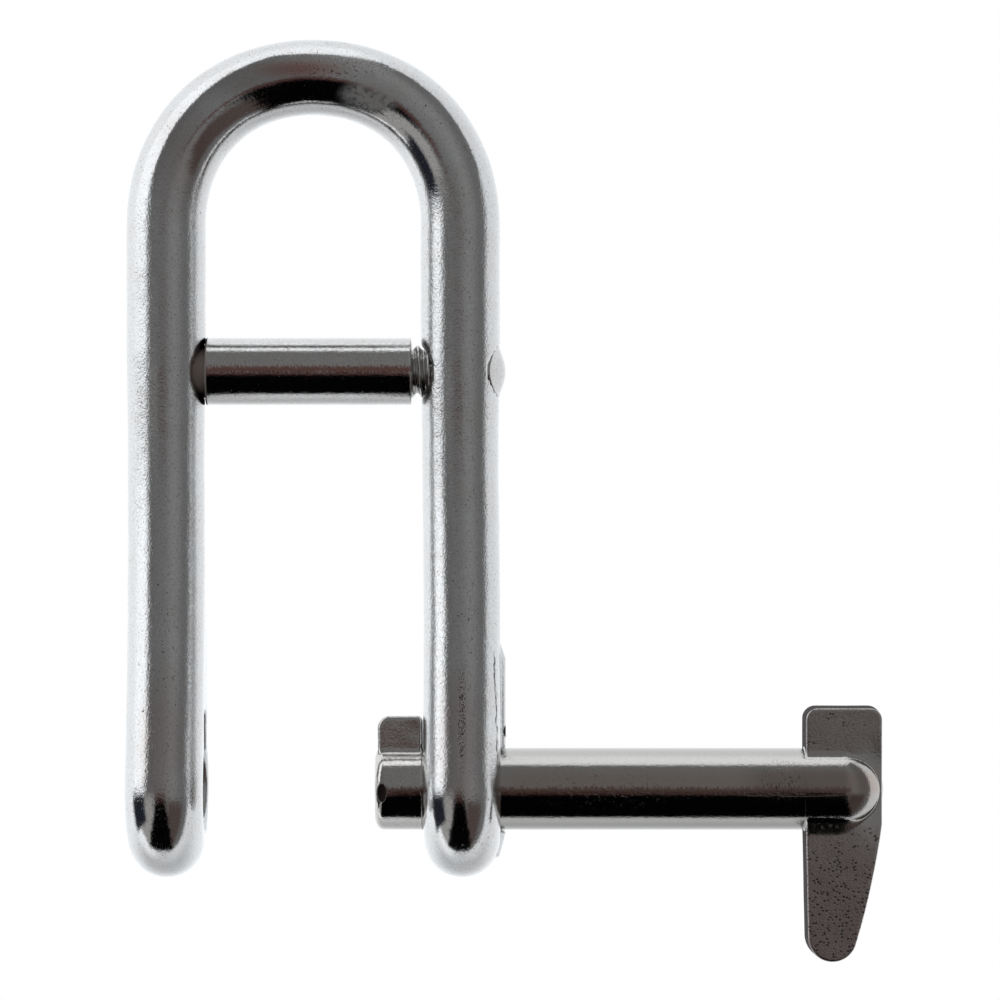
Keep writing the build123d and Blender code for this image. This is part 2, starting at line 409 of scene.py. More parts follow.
def seat_rib(points):
    """The narrow flat that the lever lies along when the shackle is locked."""
    x, y, z = points.T
    corners = [
        (LEG_X, RIB_TOE),
        (LEG_X + NECK_RADIUS - RIB_TOE_SUNK, RIB_TOE),
        (RIB_FACE_X, RIB_TOP),
        (RIB_FACE_X, RIB_BOTTOM),
        (RIB_FACE_X - RIB_HEEL_RUN, RIB_HEEL),
        (LEG_X, RIB_HEEL),
    ]
    across = np.abs(y) - RIB_FLARE * np.clip(z, 0, RIB_TOP)
    return rounded_slab(polygon(x, z, corners), across, RIB_HALF_WIDTH, RIB_EDGE_ROUND)


def bow(points):
    """The whole bow, with its holes, keyhole and staking marks."""
    x, y, z = points.T
    solid = np.minimum(rod(points), eyes(points))
    solid = union_round(solid, seat_rib(points), RIB_CREASE)
    for height in STAKE_HEIGHTS:
        away = points - (RIB_FACE_X + STAKE_RADIUS - STAKE_DEPTH, STAKE_Y, height)
        mark = np.linalg.norm(away, axis=1) - STAKE_RADIUS
        solid = cut_round(solid, mark, STAKE_EDGE_ROUND)
    hole = np.hypot(y, z) - HOLE_RADIUS
    slot = rounded_box(y, z, SLOT_HALF_WIDTH, SLOT_TOP, SLOT_CORNER)
    keyhole = np.minimum(hole, np.maximum(slot, -z))
    solid = cut_round(solid, np.where(x < 0, keyhole, hole), HOLE_EDGE_ROUND)
    bar = np.hypot(y, z - BAR_AXIS[2]) - STUD_RADIUS - np.where(x > 0, STUD_GAP, 0)
    covered = rod(points) + STUD_LEFT_COVER
    bar = np.where(x < -LEG_X, np.maximum(bar, covered), bar)
    solid = cut_round(solid, bar, STUD_HOLE_ROUND)
    long_waves, short_waves = BOW_RIPPLES
    return solid + ripple(points, *long_waves, SEED) + ripple(points, *short_waves, SEED + 1)


# ---------------------------------------------------------------- the key pin

def key_tip(points):
    """The pin's end with its key, and the hollow left where the casting's gate broke off."""
    x, y, z = points.T
    bar = common_round(np.hypot(y, z) - PIN_RADIUS, TIP_LOW[0] - x, TIP_ROUND)
    low, high = TIP_LOW[0] + TAB_SETBACK, TIP_HIGH[0]
    middle, half = (low + high) / 2, (high - low) / 2
    corner = np.where(x < middle, TAB_CORNER, TAB_CORNER * 0.5)
    outline = rounded_box(x - middle, z, half, TIP_HIGH[2], corner)
    tab = rounded_slab(outline, y, TAB_HALF_THICKNESS, TAB_EDGE_ROUND)
    tab = np.maximum(tab, -z)
    solid = union_round(bar, tab, TAB_FILLET)
    solid = np.maximum(solid, x - TIP_HIGH[0])
    centre = np.array(GATE_SPOT) + np.array(GATE_NORMAL) * (GATE_RADIUS - GATE_DEPTH)
    away = (points - centre) / (1, 1, GATE_STRETCH)
    gate = np.linalg.norm(away, axis=1) - GATE_RADIUS
    solid = cut_round(solid, gate, GATE_EDGE_ROUND)
    return solid + ripple(points, *TIP_RIPPLE, SEED + 2)


def lever_outline():
    """The lever seen from the front, as (x, height) corners."""
    left, right, top = HANDLE_LOW[0], LEVER_OUTER_X, HANDLE_HIGH[2]
    tip_z = HANDLE_LOW[2] + LEVER_TIP_RADIUS
    leave_x, leave_z = LEVER_TIP_LEAVES
    tip_right = (LEVER_TIP_X + LEVER_TIP_RADIUS * leave_x, tip_z + LEVER_TIP_RADIUS * leave_z)
    corners = arc((left + LEVER_CORNER, top - LEVER_CORNER), LEVER_CORNER, 90, 180, 9)
    corners += [(left, LEVER_SHOULDER)]
    corners += arc((LEVER_TIP_X, tip_z), LEVER_TIP_RADIUS, 180, LEVER_TIP_END, 25)
    corners += arc_through(tip_right, LEVER_WAIST, (right, LEVER_SHOULDER), 9)
    corners += arc((right - LEVER_CORNER, top - LEVER_CORNER), LEVER_CORNER, 0, 90, 9)
    return corners


LEVER_CORNERS = lever_outline()


def handle(points):
    """The lever with the pin's ball nose standing through it and a stub of the shank."""
    x, y, z = points.T
    forward = np.clip(-y / LEVER_HALF_THICKNESS, -1, 1)
    outline = polygon(x, z, LEVER_CORNERS) + LEVER_DRAFT * (1 + forward)
    nose_x = HANDLE_HIGH[0] - PIN_RADIUS
    beyond = np.maximum(x - nose_x, 0)
    inset = STUB_TAPER * (1 - smooth(x, HANDLE_LOW[0] - HANDLE_STUB, HANDLE_LOW[0]))
    nose = np.sqrt(beyond**2 + y * y + z * z) - PIN_RADIUS + inset
    at_end = smooth(x, nose_x - 0.5, nose_x + 2.0)
    fillet = NOSE_FILLET + (NOSE_UNDER_FILLET - NOSE_FILLET) * smooth(-z, 0.6, 2.4)
    fillet = fillet + (NOSE_END_FILLET - fillet) * at_end
    beside_nose = smooth(x, nose_x + 0.6, LEVER_OUTER_X) * (1 - smooth(np.abs(z), 1.5, 4.5))
    thinning = LEVER_THINNING * beside_nose
    plate = union_round(np.abs(y) - LEVER_HALF_THICKNESS + thinning, nose, fillet)
    solid = np.minimum(common_round(plate, outline, LEVER_EDGE_ROUND), nose)
    solid = np.maximum(solid, HANDLE_LOW[0] - HANDLE_STUB - x)
    return solid + ripple(points, *LEVER_RIPPLE, SEED + 3)


def shank_mesh():
    """The straight round of the pin."""
    start, length = SHANK_LOW[0], SHANK_HIGH[0] - SHANK_LOW[0]
    inner = PIN_RADIUS - SHANK_END_BAND
    stations = [(0, 0), (0, inner), (0, PIN_RADIUS), (SHANK_END_BAND, PIN_RADIUS)]
    stations += [(s * length, PIN_RADIUS) for s in np.linspace(0.01, 0.99, 100)]
    stations += [(length - SHANK_END_BAND, PIN_RADIUS), (length, PIN_RADIUS)]
    stations += [(length, inner), (length, 0)]
    return turned(stations, start, 0, 128)


# ---------------------------------------------------------------- the stop bar

def spacer_mesh():
    """The loose tube: outside, both rounded chamfers and the bore."""
    left, length = SPACER_LOW[0], SPACER_HIGH[0] - SPACER_LOW[0]
    outer = SPACER_HIGH[2] - BAR_AXIS[2] + SPACER_SWELL
    face = outer - SPACER_CHAMFER - SPACER_END_STEP
    rim = []
    for t in np.radians(np.linspace(90, 0, 7)):
        inward = SPACER_CHAMFER * (1 - math.cos(t))
        rim.append((SPACER_CHAMFER * (1 - math.sin(t)), outer - inward))
    stations = [(0, SPACER_BORE), (0, face)] + rim
    stations += [(s * length, outer) for s in np.linspace(0.02, 0.98, 60)]
    stations += [(length - x, r) for x, r in reversed(rim)]
    stations += [(length, face), (length, SPACER_BORE), (0, SPACER_BORE)]
    return turned(stations, left, BAR_AXIS[2], 96)


def stud(points):
    """The stud: a helical thread where it shows beside the right leg, an end that is filled
    over and polished away in the left leg, and a low peened dome on the right leg."""
    x, y, z = points.T
    height = z - BAR_AXIS[2]
    out = np.hypot(y, height)
    phase = (x / THREAD_PITCH - np.arctan2(height, y) / (2 * math.pi)) % 1
    groove = 1 - np.clip(np.abs(phase - 0.5) / THREAD_GROOVE, 0, 1)
    first, last = THREAD_SPAN
    fade = smooth(x, first, first + THREAD_RUNOUT)
    fade *= 1 - smooth(x, last - THREAD_RUNOUT, last)
    bar = out - STUD_RADIUS + THREAD_DEPTH * groove * fade
    flank = LEG_X + np.sqrt(np.maximum(ROD_RADIUS**2 - y * y, 1))
    cap = np.clip(1 - (out / STUD_RADIUS) ** 2, 0, 1)
    left = -x - flank + STUD_LEFT_COVER + STUD_LEFT_GAP
    right = x - flank - (STUD_RIGHT_PROUD + STUD_RIM_SUNK) * cap**1.5 + STUD_RIM_SUNK
    return common_round(bar * THREAD_SLOPE, np.maximum(left, right), STUD_END_ROUND)


# ---------------------------------------------------------------- shader helpers

def plug(tree, socket, value):
    """Sets a socket's value, or links another node's output to it."""
    if isinstance(value, bpy.types.NodeSocket):
        tree.links.new(value, socket)
    else:
        socket.default_value = value


def add(tree, kind, sockets, **settings):
    """Adds a node with its settings and sockets, and returns it."""
    item = tree.nodes.new(kind)
    for name, value in settings.items():
        setattr(item, name, value)
    for name, value in sockets.items():
        plug(tree, item.inputs[name], value)
    return item


def calc(tree, operation, *values):
    """One step of arithmetic."""
    return add(tree, "ShaderNodeMath", dict(enumerate(values)), operation=operation).outputs[0]


def ease(tree, value, low, high, to_low=0.0, to_high=1.0):
    """Runs smoothly from one value to another as the input goes from low to high."""
    sockets = {"Value": value, "From Min": low, "From Max": high}
    sockets.update({"To Min": to_low, "To Max": to_high})
    return add(tree, "ShaderNodeMapRange", sockets, interpolation_type="SMOOTHSTEP").outputs[0]


def window(tree, value, low, high, soft):
    """1 between low and high, and 0 outside, with soft edges."""
    rise = ease(tree, value, low - soft, low + soft)
    fall = ease(tree, value, high - soft, high + soft, 1.0, 0.0)
    return calc(tree, "MULTIPLY", rise, fall)


def mix(tree, factor, a, b):
    """One colour over another."""
    item = add(tree, "ShaderNodeMix", {"Factor": factor}, data_type="RGBA")
    plug(tree, item.inputs[6], a)
    plug(tree, item.inputs[7], b)
    return item.outputs[2]


def grey(level, warmth=0.0):
    """A neutral colour, a little warm or cool."""
    return (level * (1 + warmth), level, level * (1 - warmth), 1.0)


# ---------------------------------------------------------------- materials

def parts(tree, vector):
    """A vector's three numbers."""
    return add(tree, "ShaderNodeSeparateXYZ", {"Vector": vector}).outputs


def place_mm(tree, stretch=(1.0, 1.0, 1.0)):
    """Positions in millimetres with heights from the pin axis, squeezed along each axis."""
    spot = add(tree, "ShaderNodeTexCoord", {}).outputs["Object"]
    scale = tuple(1 / (MM * s) for s in stretch)
    shift = tuple(-p / s for p, s in zip(PIN_AXIS, stretch))
    sockets = {"Vector": spot, "Scale": scale, "Location": shift}
    return add(tree, "ShaderNodeMapping", sockets).outputs[0]


def noise(tree, vector, per_mm, detail=3.0, rough=0.55):
    """Noise from 0 to 1."""
    sockets = {"Vector": vector, "Scale": per_mm, "Detail": detail, "Roughness": rough}
    return add(tree, "ShaderNodeTexNoise", sockets).outputs[0]


def pits(tree, vector, per_mm, size):
    """Small round pits: 1 in a pit and 0 outside."""
    sockets = {"Vector": vector, "Scale": per_mm, "Randomness": 1.0}
    cell = add(tree, "ShaderNodeTexVoronoi", sockets).outputs["Distance"]
    return ease(tree, cell, size * 0.4, size, 1.0, 0.0)


def patch(tree, spot, centre, radii, soft=0.6):
    """1 inside an ellipsoid, fading to 0 at its surface."""
    away = add(tree, "ShaderNodeVectorMath", {0: spot, 1: centre}, operation="SUBTRACT").outputs[0]
    away = add(tree, "ShaderNodeVectorMath", {0: away, 1: radii}, operation="DIVIDE").outputs[0]
    reach = add(tree, "ShaderNodeVectorMath", {0: away}, operation="LENGTH").outputs["Value"]
    return ease(tree, reach, 1.0 - soft, 1.0, 1.0, 0.0)


def both(tree, *factors):
    """Factors multiplied together."""
    total = factors[0]
    for factor in factors[1:]:
        total = calc(tree, "MULTIPLY", total, factor)
    return total


def blend(tree, factor, a, b):
    """One number over another."""
    return add(tree, "ShaderNodeMix", {"Factor": factor, 2: a, 3: b}, data_type="FLOAT").outputs[0]


def worn(tree, tint, roughness, along, grain, pitting, rougher=1.0):
    """Worn steel's colour, roughness, height in millimetres and metal share: fine grain,
    faint streaks along one axis, and small dark pits that gather in places. rougher says
    where the grain is at its full height."""
    even = place_mm(tree)
    stretch = [1.0, 1.0, 1.0]
    stretch[along] = 7.0
    drawn = place_mm(tree, stretch)
    fine = noise(tree, even, 6.0, 3.0, 0.6)
    broad = noise(tree, even, 0.5, 3.0)
    lines = noise(tree, drawn, 4.5, 2.0)
    crowd = ease(tree, broad, 0.66 - pitting, 0.8 - pitting)
    specks = both(tree, pits(tree, even, 2.6, 0.2), crowd)
    small = both(tree, pits(tree, even, 4.2, 0.26), ease(tree, fine, 0.42, 0.56))
    dirt = calc(tree, "MAXIMUM", specks, calc(tree, "MULTIPLY", small, 0.7))
    colour = mix(tree, ease(tree, broad, 0.35, 0.7, 0.0, 0.5), tint, grey(tint[1] * 0.9, 0.03))
    colour = mix(tree, ease(tree, fine, 0.3, 0.7, 0.0, 0.5), colour, grey(tint[1] * 0.7, 0.02))
    colour = mix(tree, calc(tree, "MULTIPLY", dirt, 0.75), colour, (0.12, 0.075, 0.06, 1.0))
    rough = ease(tree, lines, 0.3, 0.7, roughness * 0.8, roughness * 1.25)
    rough = calc(tree, "ADD", rough, calc(tree, "MULTIPLY", dirt, 0.25))
    height = calc(tree, "MULTIPLY", fine, grain)
    height = calc(tree, "ADD", height, calc(tree, "MULTIPLY", lines, grain * 0.15))
    height = calc(tree, "SUBTRACT", height, calc(tree, "MULTIPLY", dirt, grain * 0.4))
    height = calc(tree, "MULTIPLY", height, rougher)
    height = calc(tree, "ADD", height, calc(tree, "MULTIPLY", broad, grain))
    return colour, rough, height, 1.0


def marked(tree, look, factor, colour, rough, depth=0.0, bare=1.0):
    """A look with a stain or a mark over it. depth is how far the mark is sunk, in
    millimetres, and bare is its metal share."""
    return (
        mix(tree, factor, look[0], colour),
        blend(tree, factor, look[1], rough),
        calc(tree, "SUBTRACT", look[2], calc(tree, "MULTIPLY", factor, depth)),
        blend(tree, factor, look[3], bare),
    )


def metal(name, look_of):
    """A bare metal material from a function that works out its look."""
    material = bpy.data.materials.new(name)
    material.use_nodes = True
    tree = material.node_tree
    tree.nodes.clear()
    colour, rough, height, bare = look_of(tree)
    bump = add(tree, "ShaderNodeBump", {"Height": height, "Strength": 1.0, "Distance": MM})
    shader = add(tree, "ShaderNodeBsdfPrincipled", {
        "Base Color": colour,
        "Metallic": bare,
        "Roughness": rough,
        "Specular IOR Level": 0.05,
        "Normal": bump.outputs[0],
    })
    add(tree, "ShaderNodeOutputMaterial", {"Surface": shader.outputs[0]})
    return material


RUST = (0.1, 0.038, 0.03, 1.0)
DARK_RUST = (0.045, 0.018, 0.014, 1.0)
GRIME = (0.02, 0.014, 0.012, 1.0)
# The next two colours are painted shadow, for the gap where the stop bar's left end meets the left
# leg.
GAP_SHADOW = (0.004, 0.003, 0.003, 1.0)
GAP_SHADE = (0.32, 0.27, 0.25, 1.0)
# Painted reflection: a reddish line along the stop bar's front.
RED_LINE_REFLECTION = (0.3, 0.15, 0.13, 1.0)
CROWN_STAIN = (0.42, 0.19, 0.15, 1.0)
# The next two colours are painted shade, on the crown and on its left bend.
CROWN_PAINTED_SHADE = (0.2, 0.15, 0.14, 1.0)
BEND_PAINTED_SHADE = (0.3, 0.23, 0.21, 1.0)
# Painted reflection: a pale, dull patch under the crown.
CROWN_DULL_REFLECTION = (0.46, 0.45, 0.44, 1.0)
LEG_BROWN = (0.4, 0.335, 0.31, 1.0)
PIN_BRIGHT = (0.58, 0.56, 0.54, 1.0)
PIN_GREY = (0.4, 0.39, 0.375, 1.0)
PIN_FILM = (0.41, 0.355, 0.32, 1.0)
PIN_WORN = (0.27, 0.22, 0.2, 1.0)
# Painted reflection: a faint line along the pin's front.
PIN_LINE_REFLECTION = (0.24, 0.165, 0.145, 1.0)
CAST_BROWN = (0.49, 0.455, 0.44, 1.0)
CAST_LOW = (0.4, 0.33, 0.32, 1.0)
# Painted shade: the lever's edge faces.
CAST_SIDE_SHADE = (0.045, 0.038, 0.036, 1.0)


def blots(tree, vector, per_mm, share):
    """Ragged blots: 1 in a blot and 0 outside. A smaller share makes fewer."""
    return ease(tree, noise(tree, vector, per_mm, 4.0, 0.65), 0.7 - share, 0.73 - share)


def bow_look(tree):
    """The bow: grainy legs, smoother crown and eyes, rust specks on the crown and down the
    front of the legs, a brown stain under the crown, painted shade across the crown and down
    its left bend, a pale dull patch painted under the crown as a reflection, a dark line
    along the rib's front face, and grime in the staking marks."""
    spot = place_mm(tree)
    x, y, z = parts(tree, spot)
    legs = ease(tree, window(tree, z, -0.5, CROWN_CENTRE + 3.0, 2.5), 0.0, 1.0, 0.3, 1.0)
    steel = grey(0.62, -0.012)
    look = worn(tree, steel, roughness=0.09, along=2, grain=0.021, pitting=0.14, rougher=legs)
    tall = place_mm(tree, (1.0, 1.0, 1.6))
    crown_z = CROWN_CENTRE + CROWN_RADIUS
    stain = patch(tree, spot, (-1.0, -5.0, crown_z + 0.4), (5.0, 6.0, 1.0), 0.8)
    look = marked(tree, look, both(tree, stain, 0.8), CROWN_STAIN, 0.12)
    # Painted shade: a darker band across the crown's top and front.
    painted_shade = patch(tree, spot, (-3.5, -5.0, crown_z - 0.6), (6.5, 6.0, 2.3), 0.8)
    look = marked(tree, look, both(tree, painted_shade, 0.45), CROWN_PAINTED_SHADE, 0.12)
    # Painted shade: the crown's left bend made darker and browner.
    bend = patch(tree, spot, (-9.3, -5.0, crown_z - 6.5), (3.8, 6.0, 6.5), 0.8)
    look = marked(tree, look, both(tree, bend, 0.4), BEND_PAINTED_SHADE, 0.12)
    # Painted reflection: a pale patch under the crown, made dull and not metal, in place of a
    # lighter reflection.
    dull_reflection = patch(tree, spot, (4.5, -5.0, crown_z - 1.6), (3.2, 6.0, 1.5), 0.5)
    uneven = ease(tree, noise(tree, spot, 2.5), 0.3, 0.6, 0.35, 0.95)
    look = marked(tree, look, both(tree, dull_reflection, uneven), CROWN_DULL_REFLECTION, 0.4, 0.0, 0.1)
    for leg in (-LEG_X, LEG_X):
        browned = patch(tree, spot, (leg, -6.0, 4.0), (2.2, 6.0, 7.5), 0.7)
        look = marked(tree, look, both(tree, browned, 0.45), LEG_BROWN, 0.1)
    speckled = patch(tree, spot, (2.0, -6.0, crown_z + 0.5), (7.0, 6.0, 1.3), 0.5)
    speckled = both(tree, speckled, blots(tree, spot, 5.0, 0.13), 0.9)
    look = marked(tree, look, speckled, RUST, 0.5, 0.006, 0.4)
    streak = patch(tree, spot, (11.25, -6.0, 5.6), (0.42, 6.0, 5.2), 0.5)
    ragged = blots(tree, place_mm(tree, (0.8, 1.0, 1.2)), 9.0, 0.2)
    look = marked(tree, look, both(tree, streak, ragged, 0.9), DARK_RUST, 0.5, 0.008, 0.2)
    spread = patch(tree, spot, (11.5, -6.0, 12.0), (1.6, 6.0, 8.5), 0.6)
    spread = both(tree, spread, blots(tree, tall, 5.5, 0.08), 0.9)
    look = marked(tree, look, spread, RUST, 0.5, 0.006, 0.4)
    left = patch(tree, spot, (-11.0, -6.0, 9.0), (1.5, 6.0, 13.0), 0.6)
    left = both(tree, left, blots(tree, tall, 5.0, 0.09), 0.9)
    look = marked(tree, look, left, RUST, 0.5, 0.006, 0.4)
    scattered = both(tree, blots(tree, tall, 3.0, 0.01), 0.8)
    look = marked(tree, look, scattered, GRIME, 0.5, 0.005, 0.2)
    # A dark line along the rib's front face, just outside where the rib meets the leg.
    line = calc(tree, "SUBTRACT", x, DARK_LINE_X)
    line = calc(tree, "ADD", calc(tree, "MULTIPLY", z, DARK_LINE_LEAN), line)
    wander = ease(tree, noise(tree, spot, 1.1, 3.0), 0.3, 0.7, -0.06, 0.06)
    line = calc(tree, "ABSOLUTE", calc(tree, "ADD", line, wander))
    crease = both(tree, ease(tree, line, 0.02, 0.09, 1.0, 0.0), window(tree, z, 1.2, 10.2, 0.5))
    broken = ease(tree, noise(tree, spot, 2.5), 0.35, 0.6, 0.2, 0.8)
    crease = both(tree, crease, ease(tree, y, -0.8, -1.0), broken)
    look = marked(tree, look, crease, GRIME, 0.5, 0.0, 0.3)
    for height in STAKE_HEIGHTS:
        stake = patch(tree, spot, (RIB_FACE_X, STAKE_Y, height), (0.3, 1.2, STAKE_RADIUS), 0.3)
        look = marked(tree, look, stake, GRIME, 0.5, 0.0, 0.0)
    return look


def painted_reflection_line(tree, look, colour, height, start, end):
    """A look with a ragged reddish line painted along the front of a bar, at one height, as a
    reflection.
    """
    x, y, z = parts(tree, place_mm(tree))
    ragged = noise(tree, place_mm(tree, (0.5, 1.0, 1.2)), 4.0, 3.0, 0.7)
    ragged = ease(tree, ragged, 0.3, 0.7, -0.16, 0.16)
    line = calc(tree, "ADD", calc(tree, "SUBTRACT", z, height), ragged)
    line = calc(tree, "ABSOLUTE", line)
    front = both(tree, window(tree, x, start, end, 0.2), ease(tree, y, -1.0, -1.8))
    line = both(tree, front, ease(tree, line, 0.12, 0.34, 0.95, 0.0))
    return marked(tree, look, line, colour, 0.15)


def bar_look(tree):
    """The stop bar: drawn along its length, with a reddish line painted along its front as a
    reflection, and painted shadow at its left end, in the gap at the left leg."""
    look = worn(tree, grey(0.6, 0.01), roughness=0.09, along=0, grain=0.012, pitting=0.05)
    start, end = SPACER_LOW[0], SPACER_HIGH[0]
    # A reddish line painted along the bar's front as a reflection.
    look = painted_reflection_line(tree, look, RED_LINE_REFLECTION, BAR_AXIS[2] + 0.1, start, end)
    x, y, _ = parts(tree, place_mm(tree))
    # Painted shadow in the gap at the left leg: the bar's left end and the stud just inside the
    # leg are darkened, and almost black away from the front.
    left_end_shadow = window(tree, x, start - 1.0, start + 0.12, 0.03)
    look = marked(tree, look, left_end_shadow, GAP_SHADE, 0.5, 0.0, 0.0)
    return marked(tree, look, both(tree, left_end_shadow, ease(tree, y, -2.0, -0.9)), GAP_SHADOW, 0.5, 0.0, 0.0)


def pin_look(tree):
    """The key pin: polished, browner along its upper front and near the lever, where it is scored,
    with rust and a faint line painted as a reflection along its front, and a dark gate mark at its
    tip."""
    spot = place_mm(tree)
    x, y, z = parts(tree, spot)
    look = worn(tree, PIN_BRIGHT, roughness=0.08, along=0, grain=0.01, pitting=0.08)
    look = marked(tree, look, both(tree, ease(tree, x, 10.0, 15.0), 0.75), PIN_GREY, 0.08)
    front = ease(tree, y, -1.0, -2.0)
    film = both(tree, window(tree, z, -0.2, 1.3, 0.4), front, ease(tree, x, 12.0, 16.0))
    look = marked(tree, look, both(tree, film, 0.8), PIN_FILM, 0.1)
    worn_end = both(tree, window(tree, x, 33.0, 40.8, 1.5), window(tree, z, -1.0, 1.7, 0.5))
    look = marked(tree, look, both(tree, worn_end, front, 0.55), PIN_WORN, 0.14)
    # A faint line painted along the pin's front as a reflection.
    look = painted_reflection_line(tree, look, PIN_LINE_REFLECTION, 0.05, TIP_LOW[0] + 0.6, 40.4)
    scratched = patch(tree, spot, (35.2, -5.0, 0.9), (2.4, 6.0, 1.9), 0.6)
    ragged = blots(tree, place_mm(tree, (0.7, 1.0, 1.5)), 4.6, 0.15)
    look = marked(tree, look, both(tree, scratched, ragged, 0.75), GRIME, 0.4, 0.006, 0.3)
    scored = patch(tree, spot, (36.0, -3.0, -0.25), (4.5, 0.6, 0.16), 0.4)
    streaks = ease(tree, noise(tree, place_mm(tree, (3.0, 1.0, 1.0)), 5.0), 0.4, 0.6)
    look = marked(tree, look, both(tree, scored, streaks, 0.8), GRIME, 0.4, 0.01)
    rusty = patch(tree, spot, (22.0, -5.0, 0.3), (9.0, 6.0, 2.2), 0.7)
    rusty = both(tree, rusty, blots(tree, spot, 4.0, 0.1), 0.6)
    look = marked(tree, look, rusty, RUST, 0.3, 0.004, 0.5)
    gate = patch(tree, spot, GATE_SPOT, (0.4, 0.6, 0.8), 0.2)
    return marked(tree, look, gate, GRIME, 0.5, 0.0, 0.0)


def cast_look(tree):
    """The lever as cast: brownish, pitted towards its tip, with its sides made dull and painted
    dark as shade. The ball nose and the stub are finished like the rest of the pin."""
    spot = place_mm(tree)
    x, y, z = parts(tree, spot)
    blade = worn(tree, CAST_BROWN, roughness=0.2, along=2, grain=0.01, pitting=0.1)
    low = ease(tree, z, -2.0, -9.0)
    blade = marked(tree, blade, both(tree, low, 0.5), CAST_LOW, 0.22)
    hollows = pits(tree, place_mm(tree, (1.1, 1.0, 0.75)), 3.0, 0.42)
    rare = ease(tree, noise(tree, spot, 1.3, 2.0), 0.36, 0.64)
    many = both(tree, hollows, ease(tree, calc(tree, "ADD", low, rare), 0.55, 1.15))
    blade = marked(tree, blade, both(tree, many, 0.8), GRIME, 0.5, 0.015, 0.9)
    # Painted shade: the lever's edge faces, which face neither front nor back, are made dark, dull
    # and not metal.
    facing = parts(tree, add(tree, "ShaderNodeTexCoord", {}).outputs["Normal"])[1]
    side = ease(tree, calc(tree, "ABSOLUTE", facing), 0.2, 0.45, 1.0, 0.0)
    blade = marked(tree, blade, side, CAST_SIDE_SHADE, 0.7, 0.0, 0.0)
    out = calc(tree, "ADD", calc(tree, "MULTIPLY", y, y), calc(tree, "MULTIPLY", z, z))
    out = calc(tree, "SQRT", out)
    on_pin = ease(tree, out, PIN_RADIUS + 0.03, PIN_RADIUS + 0.12, 1.0, 0.0)
    on_pin = calc(tree, "MAXIMUM", on_pin, ease(tree, x, LEVER_OUTER_X, LEVER_OUTER_X + 0.02))
    polished = pin_look(tree)
    return (
        mix(tree, on_pin, blade[0], polished[0]),
        blend(tree, on_pin, blade[1], polished[1]),
        blend(tree, on_pin, blade[2], polished[2]),
        blend(tree, on_pin, blade[3], polished[3]),
    )


# ---------------------------------------------------------------- studio

COOL = -0.025
EDGE_BLUE = (0.02, 0.022, 0.032, 1.0)
BOARD_BROWN = (0.11, 0.085, 0.078, 1.0)
STRIP_RED = (0.1, 0.052, 0.046, 1.0)
DEGREES = 180 / math.pi


def ramp(tree, value, stops, warmth):
    """A grey that changes along a list of (place, level) stops."""
    colour = grey(stops[0][1], warmth)
    for (low, _), (high, level) in zip(stops, stops[1:]):
        colour = mix(tree, ease(tree, value, low, high), colour, grey(level, warmth))
    return colour


